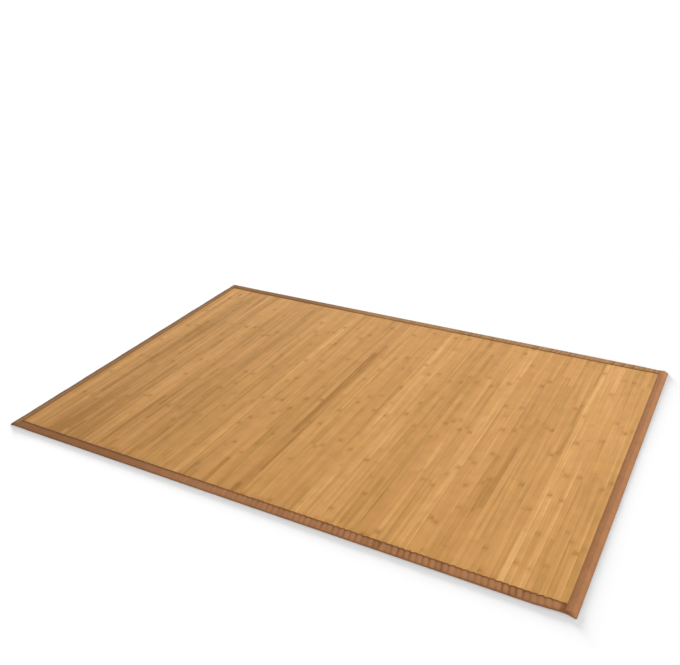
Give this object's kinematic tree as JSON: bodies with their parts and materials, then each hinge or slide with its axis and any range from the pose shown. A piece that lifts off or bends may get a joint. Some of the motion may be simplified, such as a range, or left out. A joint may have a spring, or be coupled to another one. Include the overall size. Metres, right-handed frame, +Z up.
{
  "type": "bamboo slat rug",
  "caption": "Flat area rug of bamboo slats joined side by side, with a folded cloth binding sewn around all its edges.",
  "frame": {"origin": "middle of the underside, on the floor", "axes": "+X along the long sides, +Y along the slats, +Z up"},
  "size_m": [1.83, 1.22, 0.0084],
  "materials": {
    "bamboo": "satin, lengthwise fibres and nodes",
    "binding_cloth": "plain weave, matt"
  },
  "bodies": {
    "root": {"slat_panel": "bamboo", "binding_long_front": "binding_cloth", "binding_long_back": "binding_cloth", "binding_short_left": "binding_cloth", "binding_short_right": "binding_cloth"}
  },
  "joints": []
}
